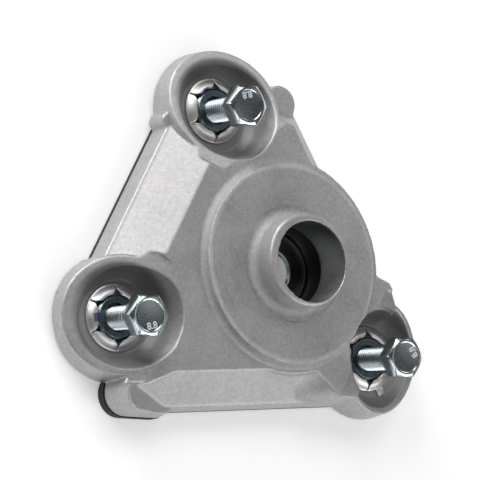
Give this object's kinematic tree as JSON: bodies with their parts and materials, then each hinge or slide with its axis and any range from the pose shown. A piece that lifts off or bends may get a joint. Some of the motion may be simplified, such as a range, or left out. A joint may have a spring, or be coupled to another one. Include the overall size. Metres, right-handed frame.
{
  "type": "strut mount",
  "caption": "Die-cast top mount for a suspension strut, with a tube on a round boss, a rubber rod bush and captive hexagon bolts in deep cups",
  "frame": {"origin": "where the rod axis meets the back of the mounting gasket", "axes": "+Z along the rod axis out of the tube, +X toward the single bolt"},
  "size_m": [0.1341, 0.1335, 0.0316],
  "materials": {
    "cast_aluminium": "shot-blasted die casting",
    "gasket_rubber": "thin black sealing gasket",
    "bush_rubber": "moulded natural rubber",
    "bush_steel": "plain pressed steel",
    "zinc_steel": "bright zinc plating",
    "collar_steel": "blue passivated zinc",
    "spring_steel": "plain spring steel",
    "nylon": "blue nylon"
  },
  "bodies": {
    "housing": {"housing": "cast_aluminium", "mounting_gasket": "gasket_rubber", "bush_shell": "bush_steel", "bush_rubber": "bush_rubber", "bush_plate": "bush_steel", "bolt_collar_1": "collar_steel", "star_clip_1": "spring_steel", "bolt_collar_2": "collar_steel", "star_clip_2": "spring_steel", "bolt_collar_3": "collar_steel", "star_clip_3": "spring_steel"},
    "sleeve": {"rod_sleeve": "zinc_steel"},
    "grip_1": {"grip_ring_1": "nylon"},
    "bolt_1": {"captive_bolt_1": "zinc_steel"},
    "grip_2": {"grip_ring_2": "nylon"},
    "bolt_2": {"captive_bolt_2": "zinc_steel"},
    "grip_3": {"grip_ring_3": "nylon"},
    "bolt_3": {"captive_bolt_3": "zinc_steel"}
  },
  "joints": [
    {"name": "sleeve_travel", "type": "slide", "parent": "housing", "child": "sleeve", "axis": [0, 0, 1], "range_m": [-0.002, 0.002], "stiffness_N_per_m": 20000},
    {"name": "bolt_1_turn", "type": "hinge", "parent": "housing", "child": "grip_1", "pos_m": [-0.04485, 0.03621, 0.0046], "axis": [0.043, -0.0657, 0.9969], "continuous": true},
    {"name": "bolt_1_slide", "type": "slide", "parent": "grip_1", "child": "bolt_1", "axis": [0.043, -0.0657, 0.9969], "range_m": [-0.0131, 0]},
    {"name": "bolt_2_turn", "type": "hinge", "parent": "housing", "child": "grip_2", "pos_m": [-0.04485, -0.04693, 0.0046], "axis": [0.043, -0.0657, 0.9969], "continuous": true},
    {"name": "bolt_2_slide", "type": "slide", "parent": "grip_2", "child": "bolt_2", "axis": [0.043, -0.0657, 0.9969], "range_m": [-0.0131, 0]},
    {"name": "bolt_3_turn", "type": "hinge", "parent": "housing", "child": "grip_3", "pos_m": [0.04776, -0.00536, 0.0046], "axis": [0.043, -0.0657, 0.9969], "continuous": true},
    {"name": "bolt_3_slide", "type": "slide", "parent": "grip_3", "child": "bolt_3", "axis": [0.043, -0.0657, 0.9969], "range_m": [-0.0148, 0]}
  ]
}
